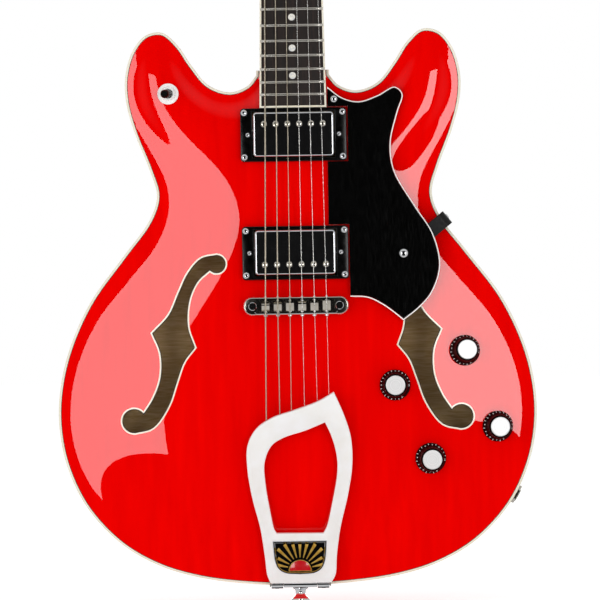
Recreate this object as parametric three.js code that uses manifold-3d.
// Semi-hollow electric guitar with a trapeze tailpiece, standing upright at its real size.
// Millimetres. X runs to the treble side, Y to the back and Z up along the neck.
// The origin is the centre of the end strap button's outer face.
import * as THREE from 'three';
import { mergeVertices } from 'three/addons/utils/BufferGeometryUtils.js';
import Module from 'manifold-3d';

const wasm = await Module();
wasm.setup();

const { Vector2, Vector3, Matrix4 } = THREE;
const degrees = Math.PI / 180;

// Driving dimensions. Heights along the body are measured from its foot, where the tail end is.
const gap = 0.3;
const strapButtonLength = 14;
const rimDepth = 45;
const plateThickness = 5;
const rimWall = 7;
const bindingWidth = 2;
const topArch = 12;
const backArch = 10;
const archReach = 100;
const shoulderArch = 0.5;
const shoulderReach = 32;
const shoulderStart = 300;
const shoulderEnd = 425;
const neckJoint = 440;
const blockHalfWidth = 52;

const scaleLength = 628.65;
const fretCount = 22;
const boardEnd = 407.4;
const boardPlane = -30.7;
const boardThickness = 5;
const boardRadius = 381;
const boardWidthAtEnd = 57;
const boardWidthAtNut = 43;
const neckAngle = 3.2 * degrees;
const headAngle = 14 * degrees;
const headThickness = 14.5;
const nutThickness = 5;
const nutString = -7.9;

const fretWidth = 2.7;
const wormOffset = 8.4;
const leverRest = 11 * degrees;
const heelFace = 18.5;

const bridgeLine = 242.1;
const bridgeString = -51.2;
const bridgeCentre = 238.6;
const bridgeHalfSpacing = 37;

const hingeHeight = 1;
const hingePlane = -31.5;
const tailTilt = 5.5 * degrees;
const tailThickness = 6;

const ringWidth = 90.4;
const ringLength = 45.6;
const coverWidth = 68.8;
const coverLength = 37.9;

const black = [0x0b0b0c, 0.25, 0];
const cherry = [0xc40a14, 0.12, 0];
const chrome = [0xd8dade, 0.08, 1];
const nickel = [0xc9c6bf, 0.18, 1];
const steel = [0xb9bbbd, 0.3, 1];
const ivory = [0xefe9d8, 0.3, 0];
const maple = [0xcaa673, 0.5, 0];
const bronzeSteel = [0xc3b79a, 0.3, 1];

// ---- small helpers

function addPart(parent, name, geometry, [color, roughness, metalness]) {
  const material = new THREE.MeshStandardMaterial({ color, roughness, metalness });
  const mesh = new THREE.Mesh(geometry, material);
  mesh.name = name;
  parent.add(mesh);
  return mesh;
}

function toSolid(geometry) {
  const bare = geometry.clone();
  bare.deleteAttribute('normal');
  bare.deleteAttribute('uv');
  const merged = mergeVertices(bare, 1e-4);
  return new wasm.Manifold(new wasm.Mesh({
    numProp: 3,
    vertProperties: new Float32Array(merged.attributes.position.array),
    triVerts: new Uint32Array(merged.index.array),
  }));
}

function toGeometry(solid) {
  const mesh = solid.getMesh();
  const geometry = new THREE.BufferGeometry();
  geometry.setAttribute('position', new THREE.BufferAttribute(mesh.vertProperties, 3));
  geometry.setIndex(new THREE.BufferAttribute(mesh.triVerts, 1));
  geometry.computeVertexNormals();
  return geometry;
}

function join(...geometries) {
  return geometries.map(toSolid).reduce((whole, piece) => whole.add(piece));
}

function cut(solid, ...geometries) {
  return geometries.map(toSolid).reduce((whole, piece) => whole.subtract(piece), solid);
}

function box(x0, x1, y0, y1, z0, z1) {
  const geometry = new THREE.BoxGeometry(x1 - x0, y1 - y0, z1 - z0);
  return geometry.translate((x0 + x1) / 2, (y0 + y1) / 2, (z0 + z1) / 2);
}

// A flat outline in X and Z, given thickness along Y.
function prism(points, yFront, yBack) {
  const shape = new THREE.Shape(points);
  const depth = yBack - yFront;
  const geometry = new THREE.ExtrudeGeometry(shape, { depth, bevelEnabled: false });
  return geometry.translate(0, 0, -yBack).rotateX(Math.PI / 2);
}

// A turned piece on the Z axis, from [radius, height] pairs.
function turned(profile, segments) {
  const points = profile.map(([radius, height]) => new Vector2(radius, height));
  return new THREE.LatheGeometry(points, segments).rotateX(Math.PI / 2);
}

// A smooth curve through a few [x, z] points.
function through(points, stepsPerSpan) {
  const knots = points.map(([x, z]) => new Vector3(x, z, 0));
  const curve = new THREE.CatmullRomCurve3(knots, false, 'centripetal');
  const steps = (points.length - 1) * stepsPerSpan;
  return curve.getPoints(steps).map((point) => new Vector2(point.x, point.y));
}

function arc(x, z, radius, from, to, steps) {
  const points = [];
  for (let i = 0; i <= steps; i += 1) {
    const angle = (from + (to - from) * i / steps) * degrees;
    points.push(new Vector2(x + radius * Math.cos(angle), z + radius * Math.sin(angle)));
  }
  return points;
}

function roundedBox(width, length, radius, steps) {
  const x = width / 2 - radius;
  const z = length / 2 - radius;
  return [
    ...arc(x, z, radius, 0, 90, steps),
    ...arc(-x, z, radius, 90, 180, steps),
    ...arc(-x, -z, radius, 180, 270, steps),
    ...arc(x, -z, radius, 270, 360, steps),
  ];
}

// A skin over rings of points, closed at both ends.
function loft(rings) {
  const count = rings[0].length;
  const positions = rings.flat().flatMap((point) => [point.x, point.y, point.z]);
  const faces = [];
  for (let ring = 0; ring < rings.length - 1; ring += 1) {
    for (let i = 0; i < count; i += 1) {
      const a = ring * count + i;
      const b = ring * count + (i + 1) % count;
      faces.push(a, b, b + count, a, b + count, a + count);
    }
  }
  const last = (rings.length - 1) * count;
  for (let i = 1; i < count - 1; i += 1) {
    faces.push(0, i + 1, i, last, last + i, last + i + 1);
  }
  return closedGeometry(positions, faces);
}

// Turns the faces round if they point inwards.
function closedGeometry(positions, faces) {
  const corner = (index) => new Vector3().fromArray(positions, index * 3);
  let volume = 0;
  for (let i = 0; i < faces.length; i += 3) {
    const [a, b, c] = [corner(faces[i]), corner(faces[i + 1]), corner(faces[i + 2])];
    volume += a.dot(b.cross(c));
  }
  const outward = volume > 0 ? faces : faces.slice().reverse();
  const geometry = new THREE.BufferGeometry();
  geometry.setAttribute('position', new THREE.Float32BufferAttribute(positions, 3));
  geometry.setIndex(outward);
  geometry.computeVertexNormals();
  return geometry;
}

// A thin round wire along a nearly straight route of points.
function wire(points, radius, sides) {
  const rings = points.map((point, index) => {
    const before = points[Math.max(index - 1, 0)];
    const after = points[Math.min(index + 1, points.length - 1)];
    const along = after.clone().sub(before).normalize();
    const across = new Vector3(0, 1, 0).cross(along).normalize();
    const up = along.clone().cross(across);
    return Array.from({ length: sides }, (_, side) => {
      const angle = 2 * Math.PI * side / sides;
      return point.clone()
        .addScaledVector(across, radius * Math.cos(angle))
        .addScaledVector(up, radius * Math.sin(angle));
    });
  });
  return loft(rings);
}

// ---- body: outline and arch

const outlineHalf = [
  [0, 0], [40, 1.4], [84, 7.2], [120, 18.2], [152, 37], [180, 67], [196.3, 100], [203.4, 132],
  [203.4, 164], [195, 202], [175.7, 244], [146, 284], [124, 313.5], [117.4, 334], [123.2, 356],
  [135.6, 388], [142.4, 414], [143, 436], [136.5, 458], [125, 471.4], [111, 473.6], [98, 462.8],
  [86, 444.9], [72, 428.2], [54, 421.9], [39, 426.8], [31, 436],
];

function bodyOutline(stepsPerSpan) {
  const left = outlineHalf.slice(1).reverse().map(([x, z]) => [-x, z]);
  const edge = through([...left, ...outlineHalf], stepsPerSpan);
  return [...edge, new Vector2(31, neckJoint), new Vector2(-31, neckJoint)];
}

// The outline moved inwards by an even distance.
function inset(points, distance) {
  return points.map((point, index) => {
    const before = points[(index + points.length - 1) % points.length];
    const after = points[(index + 1) % points.length];
    const first = point.clone().sub(before).normalize();
    const second = after.clone().sub(point).normalize();
    const inward = new Vector2(-first.y - second.y, first.x + second.x).normalize();
    const miter = distance / Math.max(0.5, inward.dot(new Vector2(-first.y, first.x)));
    return point.clone().addScaledVector(inward, miter);
  });
}

const outline = bodyOutline(2);
const edgeSamples = bodyOutline(12).slice(0, -2);

function isInside(x, z) {
  let inside = false;
  outline.forEach((a, index) => {
    const b = outline[(index + 1) % outline.length];
    const crosses = (a.y > z) !== (b.y > z);
    if (crosses && x < (b.x - a.x) * (z - a.y) / (b.y - a.y) + a.x) {
      inside = !inside;
    }
  });
  return inside;
}

// Distance to the edge, blended smoothly so that no ridge forms between opposite edges.
function edgeDistance(x, z) {
  let sum = 0;
  for (let i = 1; i < edgeSamples.length; i += 1) {
    const a = edgeSamples[i - 1];
    const b = edgeSamples[i];
    const r2 = ((a.x + b.x) / 2 - x) ** 2 + ((a.y + b.y) / 2 - z) ** 2;
    sum += a.distanceTo(b) / Math.max(r2, 1) ** 2;
  }
  return (sum * 2 / Math.PI) ** (-1 / 3);
}

function smooth(t) {
  const s = THREE.MathUtils.clamp(t, 0, 1);
  return s * s * (3 - 2 * s);
}

// Height of the arch over the rim, as a share of the full arch.
function archShare(x, z) {
  if (!isInside(x, z)) {
    return 0;
  }
  const shoulder = smooth((z - shoulderStart) / (shoulderEnd - shoulderStart));
  const reach = archReach + (shoulderReach - archReach) * shoulder;
  const height = 1 + (shoulderArch - 1) * shoulder;
  return height * smooth(edgeDistance(x, z) / reach);
}

const gridColumns = Array.from({ length: 17 }, (_, i) => -208 + i * 26);
const gridRows = [
  ...Array.from({ length: 14 }, (_, i) => -6 + i * 27),
  ...Array.from({ length: 8 }, (_, i) => 366 + i * 16),
];
const archGrid = gridRows.map((z) => gridColumns.map((x) => archShare(x, z)));

// A solid between two surfaces that each follow the arch: y = plane + share * arch.
function archedSlab(front, back) {
  const columns = gridColumns.length;
  const positions = [];
  for (const [plane, arch] of [front, back]) {
    gridRows.forEach((z, row) => gridColumns.forEach((x, column) => {
      positions.push(x, plane + arch * archGrid[row][column], z);
    }));
  }
  const behind = columns * gridRows.length;
  const faces = [];
  const quad = (a, b, c, d) => faces.push(a, b, c, a, c, d);
  for (let row = 0; row < gridRows.length - 1; row += 1) {
    for (let column = 0; column < columns - 1; column += 1) {
      const a = row * columns + column;
      const b = a + columns;
      quad(a, a + 1, b + 1, b);
      quad(behind + a, behind + b, behind + b + 1, behind + a + 1);
    }
    const left = row * columns;
    const right = left + columns - 1;
    quad(left, left + columns, behind + left + columns, behind + left);
    quad(right, behind + right, behind + right + columns, right + columns);
  }
  const topRow = behind - columns;
  for (let column = 0; column < columns - 1; column += 1) {
    quad(column, behind + column, behind + column + 1, column + 1);
    quad(topRow + column, topRow + column + 1, behind + topRow + column + 1, behind + topRow + column);
  }
  return closedGeometry(positions, faces);
}

// Where a fitting stands on the arched top: a point on the surface, turned to its normal.
function topSeat(x, z) {
  const step = 4;
  const slopeX = topArch * (archShare(x + step, z) - archShare(x - step, z)) / (2 * step);
  const slopeZ = topArch * (archShare(x, z + step) - archShare(x, z - step)) / (2 * step);
  const normal = new Vector3(-slopeX, -1, -slopeZ).normalize();
  const seat = new THREE.Group();
  seat.position.set(x, -rimDepth / 2 - topArch * archShare(x, z), z);
  seat.quaternion.setFromUnitVectors(new Vector3(0, 0, 1), normal);
  seat.updateMatrix();
  return seat;
}

// ---- body: pieces

function fHole(side) {
  const outerEdge = [[67, 282.5], [80, 279.8], [91.2, 267.9], [99.7, 250.6], [108.1, 232.2], [122.5, 216.9]];
  const outerLower = [[122.5, 216.9], [115.9, 200], [116, 179], [122.3, 161.7], [131.3, 147.6]];
  const innerLower = [[139, 132.6], [124, 136.7], [110.4, 155], [103, 175.6], [96.5, 192.6], [87.4, 204.4]];
  const innerUpper = [[87.4, 204.4], [93, 222], [91.3, 245.1], [84, 260.8], [73.2, 270.6]];
  const points = [
    ...through(outerEdge, 2),
    ...through(outerLower, 2),
    ...arc(139.6, 142.4, 9.7, 140, -82, 9),
    ...through(innerLower, 2),
    ...through(innerUpper, 2),
    ...arc(67.3, 275.2, 7.2, -50, -260, 7),
  ];
  const distinct = points.filter((point, i) => point.distanceTo(points[(i + 1) % points.length]) > 0.4);
  return distinct.map((point) => new Vector2(side * point.x, point.y));
}

const pickups = [
  { end: 'neck', centre: 384.7, ringHeight: 5 },
  { end: 'bridge', centre: 283.9, ringHeight: 6 },
];
const knobs = [
  { name: 'knob_tone_neck', x: 83.3, z: 169.8 },
  { name: 'knob_tone_bridge', x: 112.6, z: 107 },
  { name: 'knob_volume_neck', x: 143, z: 198.4 },
  { name: 'knob_volume_bridge', x: 170.3, z: 133.3 },
];
const switchPlace = { x: -106.5, z: 421 };

function pickupWells() {
  return pickups.flatMap(({ centre }) => [
    box(-36.5, 36.5, -60, -2, centre - 21.5, centre + 21.5),
    box(-44, 44, -60, -2, centre - 8, centre + 8),
  ]);
}

function studHoles(radius, depth) {
  return [-1, 1].map((side) => {
    const hole = turned([[0, -depth], [radius, -depth], [radius, 60], [0, 60]], 12);
    return hole.rotateX(Math.PI / 2).translate(side * bridgeHalfSpacing, 0, bridgeCentre);
  });
}

function shaftHole(place, radius) {
  const hole = turned([[0, -12], [radius, -12], [radius, 8], [0, 8]], 12);
  return hole.applyMatrix4(topSeat(place.x, place.z).matrix);
}

function makeTop(parent) {
  const slab = toSolid(archedSlab([-rimDepth / 2, -topArch], [plateThickness - rimDepth / 2, -topArch]));
  const plate = slab.intersect(toSolid(prism(inset(outline, bindingWidth + gap), -60, 0)));
  const holes = [
    ...[-1, 1].map((side) => prism(fHole(side), -60, 0)),
    ...pickupWells(),
    ...studHoles(5, 0),
    ...knobs.map((knob) => shaftHole(knob, 5.2)),
    shaftHole(switchPlace, 6.6),
  ];
  addPart(parent, 'body_top', toGeometry(cut(plate, ...holes)), cherry);
}

function makeBack(parent) {
  const slab = toSolid(archedSlab([rimDepth / 2 - plateThickness, backArch], [rimDepth / 2, backArch]));
  addPart(parent, 'body_back', toGeometry(slab.intersect(toSolid(prism(outline, 0, 60)))), cherry);
}

function makeRim(parent) {
  const half = rimDepth / 2 - plateThickness - gap;
  const wall = toSolid(prism(outline, -half, half));
  const neckSlot = box(-tenon.halfWidth - gap, tenon.halfWidth + gap, -30, 30, 425, 445);
  const rim = cut(wall, prism(inset(outline, rimWall), -30, 30), neckSlot, jackHole());
  addPart(parent, 'body_rim', toGeometry(rim), cherry);
  const strip = toSolid(prism(outline, -rimDepth / 2, plateThickness - rimDepth / 2));
  const binding = cut(strip, prism(inset(outline, bindingWidth), -30, 0), box(-28, 28, -30, 0, 425, 445));
  addPart(parent, 'top_binding', toGeometry(binding), ivory);
}

const tenon = { halfWidth: 19, foot: 412, front: -16.8, back: 10 };

function makeBlock(parent) {
  const front = [plateThickness - rimDepth / 2 + gap, -topArch];
  const back = [rimDepth / 2 - plateThickness - gap, backArch];
  const core = toSolid(archedSlab(front, back))
    .intersect(toSolid(prism(inset(outline, rimWall + 4 * gap), -60, 60)))
    .intersect(toSolid(box(-blockHalfWidth, blockHalfWidth, -60, 60, 0, neckJoint - rimWall - 2)));
  const slot = box(
    -tenon.halfWidth - gap, tenon.halfWidth + gap, -60, tenon.back + gap, tenon.foot - gap, neckJoint + 5);
  const block = cut(core, slot, ...pickupWells(), ...studHoles(4, 14));
  addPart(parent, 'center_block', toGeometry(block), maple);
}

// ---- neck

const boardLength = scaleLength * (1 - 2 ** (-fretCount / 12)) + 11.1;
const neckFrame = new Matrix4().makeRotationX(-neckAngle).setPosition(0, boardPlane, boardEnd);
const headFrame = neckFrame.clone()
  .multiply(new Matrix4().makeTranslation(0, 0.6, boardLength + nutThickness))
  .multiply(new Matrix4().makeRotationX(-headAngle));

function boardHalfWidth(z) {
  return (boardWidthAtEnd + (boardWidthAtNut - boardWidthAtEnd) * z / boardLength) / 2;
}

// Back of the neck: half of a squared ellipse under the glue face.
function neckSection(z, depth, squareness) {
  const half = boardHalfWidth(z);
  const steps = 10;
  return Array.from({ length: steps + 1 }, (_, i) => {
    const angle = Math.PI * i / steps;
    const x = half * Math.sign(Math.cos(angle)) * Math.abs(Math.cos(angle)) ** squareness;
    return new Vector3(x, depth * Math.sin(angle) ** squareness, z);
  });
}

function headOutline() {
  const right = through(
    [[21.6, 0], [23.5, 12], [31.5, 27], [35, 45], [38, 84], [41.5, 128], [43, 154], [37, 175], [19, 180], [0, 187]], 2);
  return [...right, ...right.slice(0, -1).reverse().map((point) => new Vector2(-point.x, point.y))];
}

const tunerRows = [42, 82, 122];
const tuners = [-1, 1].flatMap((side) => tunerRows.map((height, row) => (
  { side, x: side * (22 + 2.5 * row), z: height, string: side < 0 ? row + 1 : 6 - row }
)));

function makeNeck(parent) {
  const heel = neckJoint + gap - boardEnd;
  const shaft = loft([
    neckSection(heel - 3, 47, 0.55),
    neckSection(heel + 10, 45.5, 0.6),
    neckSection(heel + 22, 37, 0.7),
    neckSection(heel + 34, 25, 0.85),
    neckSection(heel + 50, 19, 0.95),
    neckSection(boardLength / 2, 17.6, 1),
    neckSection(boardLength - 30, 15.6, 1),
    neckSection(boardLength + nutThickness, 15.2, 0.9),
  ]);
  const head = prism(headOutline(), 0, headThickness).applyMatrix4(headFrame);
  const tongue = box(
    -tenon.halfWidth, tenon.halfWidth, tenon.front, tenon.back, tenon.foot, neckJoint + 6);
  const whole = join(shaft.applyMatrix4(neckFrame), head)
    .subtract(toSolid(box(-60, 60, -60, 60, 380, neckJoint + gap)))
    .add(toSolid(tongue));
  const rodSlot = box(-3.5, 3.5, -5, 9.5, 50, boardLength + 30).applyMatrix4(neckFrame);
  const postHoles = tuners.map(({ x, z }) => (
    turned([[0, -30], [4, -30], [4, 30], [0, 30]], 10).rotateX(Math.PI / 2).translate(x, 0, z)
      .applyMatrix4(headFrame)
  ));
  addPart(parent, 'neck', toGeometry(cut(whole, rodSlot, ...postHoles)), cherry);
  const rod = turned([[0, 52], [3, 52], [3, boardLength - 6], [0, boardLength - 6]], 8);
  const nutEnd = turned(
    [[0, boardLength - 8], [3.2, boardLength - 8], [3.2, boardLength + 24], [0, boardLength + 24]], 6);
  const trussRod = join(rod, nutEnd).translate(0, 5.5, 0);
  addPart(parent, 'truss_rod', toGeometry(trussRod).applyMatrix4(neckFrame), steel);
}

// Crown of the board at a distance x from its middle.
function crownAt(x, halfWidth) {
  return boardThickness + (halfWidth ** 2 - x ** 2) / (2 * boardRadius);
}

function crest(halfWidth, reach, lift) {
  const steps = 4;
  return Array.from({ length: steps + 1 }, (_, i) => {
    const x = reach * (1 - 2 * i / steps);
    return new Vector2(x, -crownAt(x, halfWidth) - lift);
  });
}

function boardSection(z) {
  const half = boardHalfWidth(z);
  const top = crest(half, half, 0).map((point) => new Vector3(point.x, point.y, z));
  return [new Vector3(-half, -gap, z), new Vector3(half, -gap, z), ...top];
}

function fretBar(fret) {
  const z = boardLength - scaleLength * (1 - 2 ** (-fret / 12));
  const half = boardHalfWidth(z);
  const reach = half - 1.3;
  const section = new THREE.Shape([...crest(half, reach, 1.2), ...crest(half, reach, 0.1).reverse()]);
  const bar = new THREE.ExtrudeGeometry(section, { depth: fretWidth, bevelEnabled: false });
  return bar.translate(0, 0, z - fretWidth / 2);
}

// The frets stand on one thin spine let into the board, so that they are one piece.
function makeBoard(parent) {
  const spineEnd = boardLength - 30;
  const board = toSolid(loft([boardSection(0), boardSection(boardLength - gap)]));
  const slotted = cut(board, box(-1.6, 1.6, -10, -3, -1, spineEnd + 1));
  addPart(parent, 'fretboard', toGeometry(slotted).applyMatrix4(neckFrame), black);
  const bars = Array.from({ length: fretCount }, (_, i) => fretBar(i + 1));
  const frets = join(box(-1.2, 1.2, -6.35, -3.4, 4, spineEnd), ...bars);
  addPart(parent, 'frets', toGeometry(frets).applyMatrix4(neckFrame), nickel);
  const half = boardWidthAtNut / 2;
  const nut = box(-half, half, nutString + 1.2, -gap, boardLength + gap, boardLength + nutThickness);
  addPart(parent, 'nut', nut.applyMatrix4(neckFrame), ivory);
}

// ---- tuners

function makeTuner(parent, { side, x, z, string }) {
  const tuner = new THREE.Group();
  tuner.position.set(x, 0, z);
  parent.add(tuner);
  const back = headThickness;
  const post = turned([
    [0, -17], [3, -17], [3, -10], [2.5, -9], [2.5, -5], [3, -4],
    [3, back + 2], [5.2, back + 2], [5.2, back + 6], [0, back + 6],
  ], 10).rotateX(Math.PI / 2).scale(1, -1, 1);
  addPart(tuner, `tuner_post_${string}`, flipped(post), nickel);
  const shell = box(-8.5, 8.5, back + gap, back + 9, -7.5, 12.5);
  const hollow = box(-6.5, 6.5, back - 1, back + 7.5, -6, 11.5);
  const wormHole = turned([[0, 0], [2, 0], [2, 20], [0, 20]], 8).rotateY(side * Math.PI / 2)
    .translate(0, back + 4, wormOffset);
  addPart(tuner, `tuner_housing_${string}`, toGeometry(cut(toSolid(shell), hollow, wormHole)), nickel);
  const shaft = turned([
    [0, -5.5], [2.5, -5.5], [2.5, 5.5], [1.5, 5.5], [1.5, 19], [3, 19], [3.4, 22], [0, 22],
  ], 8);
  const outline = arc(0, 0, 1, 0, 330, 11).map((point) => new Vector2(8 * point.x, 27.5 + 6.5 * point.y));
  const grip = prism(outline, -2.8, 2.8);
  const button = toGeometry(join(shaft, grip)).rotateY(side * Math.PI / 2);
  addPart(tuner, `tuner_button_${string}`, button.translate(0, back + 4, wormOffset), chrome);
}

// A mirrored geometry with its faces turned back outwards.
function flipped(geometry) {
  return closedGeometry(Array.from(geometry.attributes.position.array), Array.from(geometry.index.array));
}

// ---- strings

const strings = [
  { gauge: 1.17, nut: -18, bridge: -26, tail: [-26.9, 142.6], stagger: -3 },
  { gauge: 0.91, nut: -10.8, bridge: -15.6, tail: [-15.3, 147.6], stagger: -2 },
  { gauge: 0.66, nut: -3.6, bridge: -5.2, tail: [-5.4, 150.7], stagger: -1 },
  { gauge: 0.5, nut: 3.6, bridge: 5.2, tail: [5.8, 154.3], stagger: -2.2 },
  { gauge: 0.5, nut: 10.8, bridge: 15.6, tail: [16.7, 158.9], stagger: -1.2 },
  { gauge: 0.5, nut: 18, bridge: 26, tail: [26.7, 163], stagger: 0 },
];
const tailFrame = new Matrix4().makeRotationX(tailTilt).setPosition(0, hingePlane, hingeHeight);
const ballDepth = 0.9;
const ballInset = 9;

function saddlePoint({ bridge, stagger }) {
  return new Vector3(bridge, bridgeString + bridge ** 2 / (2 * boardRadius), bridgeLine + stagger);
}

function tailPoint({ tail }, below) {
  return new Vector3(tail[0], ballDepth, tail[1] - hingeHeight - below).applyMatrix4(tailFrame);
}

function nutPoint({ nut }, z) {
  return new Vector3(nut, nutString + nut ** 2 / (2 * boardRadius), z).applyMatrix4(neckFrame);
}

function makeString(parent, string, index) {
  const radius = string.gauge / 2;
  const { side, x, z } = tuners.find((tuner) => tuner.string === index + 1);
  const coil = 3 + radius;
  const height = -7;
  const coilSection = [
    [3 - 0.2, -radius * 2.5], [3 + 2 * radius, -radius * 2.5],
    [3 + 2 * radius, radius * 2.5], [3 - 0.2, radius * 2.5], [3 - 0.2, -radius * 2.5],
  ];
  const wraps = turned(coilSection, 8).rotateX(Math.PI / 2).translate(x, height, z).applyMatrix4(headFrame);
  const run = wire([
    tailPoint(string, ballInset),
    tailPoint(string, 0),
    saddlePoint(string),
    nutPoint(string, boardLength),
    nutPoint(string, boardLength + nutThickness),
    new Vector3(x - side * coil, height, z).applyMatrix4(headFrame),
  ], radius, 6);
  const ball = turned([[0, -2], [1.9, -2], [1.9, 2], [0, 2]], 8).applyMatrix4(
    tailFrame.clone().multiply(new Matrix4().makeTranslation(
      string.tail[0], ballDepth, string.tail[1] - hingeHeight - ballInset)));
  addPart(parent, `string_${index + 1}`, toGeometry(join(run, wraps, ball)), bronzeSteel);
}

// ---- bridge

function makeBridge(parent) {
  const bottom = -41.8;
  const front = -48.4;
  const slab = prism(
    roundedBox(89, 14.8, 7.3, 4).map((point) => new Vector2(point.x, point.y + bridgeCentre)), front, bottom);
  const channel = box(-33.2, 33.2, -60, bottom - 1.5, bridgeCentre - 5.2, bridgeCentre + 5.2);
  addPart(parent, 'bridge_body', toGeometry(cut(toSolid(slab), channel, ...studHoles(2.8, -30))), nickel);
  const saddles = strings.map((string) => {
    const top = saddlePoint(string);
    const y = top.y + string.gauge / 2 + 0.6;
    return prism([
      new Vector2(top.x - 5, bridgeCentre - 4.4), new Vector2(top.x + 5, bridgeCentre - 4.4),
      new Vector2(top.x + 5, top.z), new Vector2(top.x - 5, top.z),
    ], y, bottom - 2);
  });
  const wireRod = box(-31, 31, -47.6, -46.8, bridgeCentre - 2, bridgeCentre - 1.2);
  addPart(parent, 'bridge_saddles', toGeometry(join(wireRod, ...saddles)), nickel);
  ['bass', 'treble'].forEach((name, i) => {
    const stud = turned([
      [0, 14], [3.5, 14], [3.5, 34.2 + 0.6], [2.45, 34.8], [2.45, 38.2], [8, 38.2], [8, 41.2],
      [2.45, 41.2], [2.45, 48.8], [0, 48.8],
    ], 12).rotateX(Math.PI / 2).translate((2 * i - 1) * bridgeHalfSpacing, 0, bridgeCentre);
    addPart(parent, `bridge_stud_${name}`, stud, nickel);
  });
}

// ---- tailpiece

function tailOutline() {
  const right = through([[26.5, 2.6], [30.2, 10], [31.5, 26], [35, 50], [42, 79], [45.8, 104],
    [44.9, 126.8], [39.3, 146.1], [30.9, 165.8]], 2);
  const top = through([[30.9, 165.8], [17.3, 158.1], [-4, 150.5], [-21.1, 144.9], [-35.4, 135.5],
    [-43.2, 121], [-43.7, 101], [-39.8, 75.5], [-33.5, 50], [-30, 25.6], [-28.2, 10], [-25.5, 2.6]], 2);
  return [...right, ...top.slice(1)].map((point) => new Vector2(point.x, point.y - hingeHeight));
}

function tailOpening() {
  const left = through([[23, 140], [7.1, 133.5], [-12.8, 127.1], [-22.8, 120.5], [-28.8, 106.4],
    [-28.3, 87.4], [-24.8, 64.8], [-21.4, 48.5], [-19.2, 45.1]], 2);
  const right = through([[20.3, 45.2], [23.3, 51], [28.4, 72.3], [32.8, 97], [32.5, 111.2], [28.2, 128.2],
    [23, 140]], 2);
  return [...left, ...right.slice(0, -1)].map((point) => new Vector2(point.x, point.y - hingeHeight));
}

// A round bar along X at the hinge line.
function hingeBar(radius, from, to, segments) {
  return turned([[0, from], [radius, from], [radius, to], [0, to]], segments).rotateY(Math.PI / 2);
}

function makeTailpiece(parent) {
  const hinge = new THREE.Group();
  hinge.position.set(0, hingePlane, hingeHeight);
  parent.add(hinge);
  const casting = new THREE.Group();
  casting.rotation.x = tailTilt;
  hinge.add(casting);
  const half = tailThickness / 2;
  const stringSlots = strings.flatMap(({ tail: [x, z] }) => [
    box(x - 0.9, x + 0.9, ballDepth - 0.9, 10, z - hingeHeight - 8, z + 15),
    box(x - 2.3, x + 2.3, ballDepth - 2.3, 10, z - hingeHeight - 11.6, z - hingeHeight - 6.4),
  ]);
  const frame = cut(
    join(prism(tailOutline(), -half, half), hingeBar(2.4, -14.4, 14.4, 12)),
    prism(tailOpening(), -10, 10), hingeBar(1.4, -30, 30, 10),
    hingeBar(2.8, -25, -14.4, 12), hingeBar(2.8, 14.4, 25, 12), ...stringSlots);
  addPart(casting, 'tailpiece_frame', toGeometry(frame), chrome);
  addPart(hinge, 'tailpiece_hinge_pin', hingeBar(1.1, -25.6, 25.6, 10), steel);
  const lugs = [-1, 1].flatMap((side) => {
    const [x0, x1] = side < 0 ? [-24.6, -14.8] : [14.8, 24.6];
    return [hingeBar(2.3, x0, x1, 12), box(x0, x1, 0, 12, -3.2, -1.4)];
  });
  const endPlate = box(-27, 27, 9, 45, -3.2, -1.4);
  const bracket = cut(join(endPlate, ...lugs), hingeBar(1.4, -30, 30, 10), strapHole());
  addPart(hinge, 'tailpiece_bracket', toGeometry(bracket), chrome);
}

function strapHole() {
  return turned([[0, -10], [2.6, -10], [2.6, 10], [0, 10]], 10).translate(0, -hingePlane, 0);
}

// ---- pickups and their rings

function tiltToStrings() {
  const nut = nutPoint(strings[2], boardLength);
  const saddle = saddlePoint(strings[2]);
  return Math.atan2(nut.y - saddle.y, nut.z - saddle.z);
}

function stringPlaneAt(z) {
  const saddle = saddlePoint(strings[2]);
  return saddle.y + (z - saddle.z) * Math.tan(tiltToStrings());
}

function makePickup(parent, { end, centre, ringHeight }) {
  const surface = -rimDepth / 2 - topArch * archShare(0, centre);
  const ringTop = surface - ringHeight;
  const frame = new Matrix4().makeRotationX(-tiltToStrings()).setPosition(0, ringTop, centre);
  const block = toSolid(prism(roundedBox(ringWidth, ringLength, 3, 2), 0, 14).applyMatrix4(frame));
  const wood = toSolid(archedSlab([-rimDepth / 2 - gap, -topArch], [20, 0]));
  const window = box(-35.4, 35.4, -20, 30, -19.95, 19.95).applyMatrix4(frame);
  addPart(parent, `pickup_ring_${end}`, toGeometry(cut(block.subtract(wood), window)), black);
  const clearance = ringTop - stringPlaneAt(centre) - 2.9;
  const cover = prism(roundedBox(coverWidth, coverLength, 3, 2), -clearance, 17);
  const legs = prism(roundedBox(84, 12, 3, 2), 14.5, 17);
  addPart(parent, `pickup_${end}`, toGeometry(join(cover, legs)).applyMatrix4(frame), chrome);
}

// ---- pickguard

const guard = { z: 300, back: -36.3, thickness: 3, tilt: 2.6 * degrees };

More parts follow.
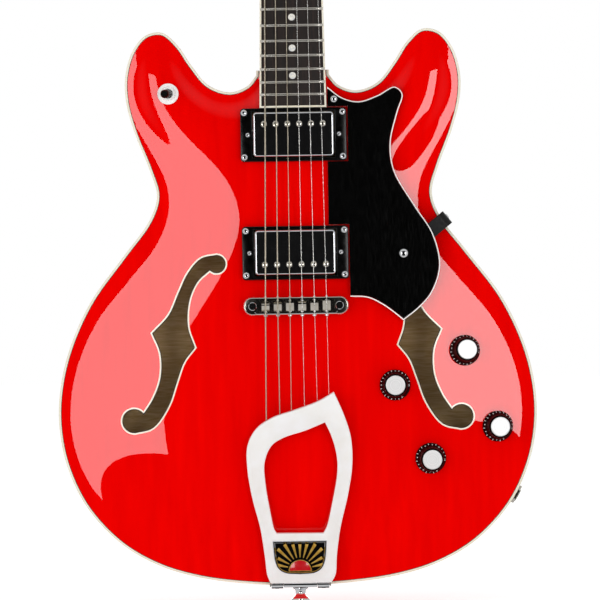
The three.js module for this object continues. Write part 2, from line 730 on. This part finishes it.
function makePickguard(parent) {
  const plate = new THREE.Group();
  plate.position.set(0, guard.back, guard.z);
  plate.rotation.x = -guard.tilt;
  parent.add(plate);
  const upper = through([[29.4, 425.3], [41.9, 415.8], [56, 412.3], [72, 417.2], [86.9, 424.4],
    [93.7, 418.1], [89, 401.8], [83, 377], [85.5, 353], [103.3, 321.6], [117.6, 298.5], [123.4, 271],
    [116, 248], [105.1, 235.4], [91.2, 224.5]], 2);
  const lower = through([[91.2, 224.5], [84.7, 230], [74.2, 237.8], [61.3, 244.2], [46.4, 245.4]], 2);
  const left = [[46.4, 307.4], [28.8, 307.4], [28.8, 361.2], [46.4, 361.2], [46.4, 408.2], [29.4, 408.2]];
  const points = [...upper, ...lower.slice(1), ...left.map(([x, z]) => new Vector2(x, z))];
  const local = points.map((point) => new Vector2(point.x, point.y - guard.z));
  addPart(plate, 'pickguard', prism(local, -guard.thickness, 0), black);
  const arm = new THREE.Group();
  arm.position.set(92.3, guard.back + 0.5, 281.8);
  arm.rotation.y = -Math.atan2(309 - 281.8, 126 - 92.3);
  parent.add(arm);
  const reach = 49;
  const bracket = join(
    box(-6, reach, 0.9, 3.1, -6.3, 6.3), box(reach - 2.2, reach, 0.9, 34, -6.3, 6.3));
  addPart(arm, 'pickguard_bracket', toGeometry(bracket), black);
}

// ---- controls

function makeKnob(parent, { name, x, z }) {
  const seat = topSeat(x, z);
  parent.add(seat);
  addPart(seat, name, turned([
    [0, -16], [3, -16], [3, 6], [9, 6], [11, 1], [13.1, 1], [13.1, 2.6], [11, 5.4], [10, 9],
    [9.6, 15], [9, 15.6], [0, 15.6],
  ], 14), black);
  addPart(seat, name.replace('knob', 'pot'), turned([
    [0, -20], [11.5, -20], [11.5, -8], [4.7, -8], [4.7, 0.4], [6.5, 0.8], [6.5, 2.8], [3.4, 2.8],
    [3.4, -17], [0, -17],
  ], 10), steel);
}

function makeSwitch(parent) {
  const seat = topSeat(switchPlace.x, switchPlace.z);
  parent.add(seat);
  const barrel = turned([
    [0, -30], [9, -30], [9, -8], [6, -8], [6, 0.6], [9, 0.6], [9, 1.6], [6.2, 1.6], [6.2, 4.4],
    [4, 4.4], [4, -12], [0, -12],
  ], 12);
  addPart(seat, 'switch_body', barrel, nickel);
  const lever = turned([
    [0, -9], [1.4, -9], [1.4, 8], [3, 8], [3.7, 14], [3.2, 18], [1.6, 19.6], [0, 20],
  ], 10);
  const throwing = new THREE.Group();
  throwing.quaternion.setFromAxisAngle(leverAxis(seat), leverRest);
  seat.add(throwing);
  addPart(throwing, 'switch_lever', lever, black);
}

// The lever swings towards the bass edge about an axis that lies in the top.
function leverAxis(seat) {
  const towards = new Vector3(-0.93, 0, -0.36).applyQuaternion(seat.quaternion.clone().invert());
  return new Vector3(0, 0, 1).cross(towards).normalize();
}

// ---- jack and strap buttons

const jackHeight = 75.1;

function jackFrame() {
  const index = outline.findIndex((point) => point.x > 0 && point.y > jackHeight);
  const [a, b] = [outline[index - 1], outline[index]];
  const share = (jackHeight - a.y) / (b.y - a.y);
  const place = a.clone().lerp(b, share);
  const direction = b.clone().sub(a).normalize();
  const outward = new Vector3(direction.y, 0, -direction.x);
  const turn = new THREE.Quaternion().setFromUnitVectors(new Vector3(0, 0, 1), outward);
  return new Matrix4().compose(new Vector3(place.x, 0, place.y), turn, new Vector3(1, 1, 1));
}

function jackHole() {
  return turned([[0, -20], [6.2, -20], [6.2, 10], [0, 10]], 14).applyMatrix4(jackFrame());
}

function makeJack(parent) {
  const jack = new THREE.Group();
  jack.applyMatrix4(jackFrame());
  parent.add(jack);
  addPart(jack, 'output_jack', turned([
    [0, -28], [8, -28], [8, -9], [5.6, -9], [5.6, 0.5], [8.5, 0.5], [8.5, 1.5], [6, 1.5], [6, 4],
    [3.9, 4], [3.9, -24], [0, -24],
  ], 12), nickel);
}

function makeStrapButtons(parent) {
  const profile = [[0, 0], [7.5, 0], [7.8, 1.6], [4.2, 5], [4.2, 8], [6.6, 10.8], [0, 10.8]];
  const end = turned(profile, 16).translate(0, 0, -strapButtonLength);
  addPart(parent, 'strap_button_end', end, chrome);
  const heel = turned(profile, 16).rotateX(Math.PI / 2).translate(0, heelFace + 10.8 + gap, 452);
  addPart(parent, 'strap_button_heel', heel, chrome);
}

// ---- assembly

const guitar = new THREE.Group();
const body = new THREE.Group();
body.position.z = strapButtonLength;
guitar.add(body);

makeTop(body);
makeBack(body);
makeRim(body);
makeBlock(body);
makeNeck(body);
makeBoard(body);

const head = new THREE.Group();
head.applyMatrix4(headFrame);
body.add(head);
tuners.forEach((tuner) => makeTuner(head, tuner));

strings.forEach((string, index) => makeString(body, string, index));
makeBridge(body);
makeTailpiece(body);
pickups.forEach((pickup) => makePickup(body, pickup));
makePickguard(body);
knobs.forEach((knob) => makeKnob(body, knob));
makeSwitch(body);
makeJack(body);
makeStrapButtons(body);

export default guitar;
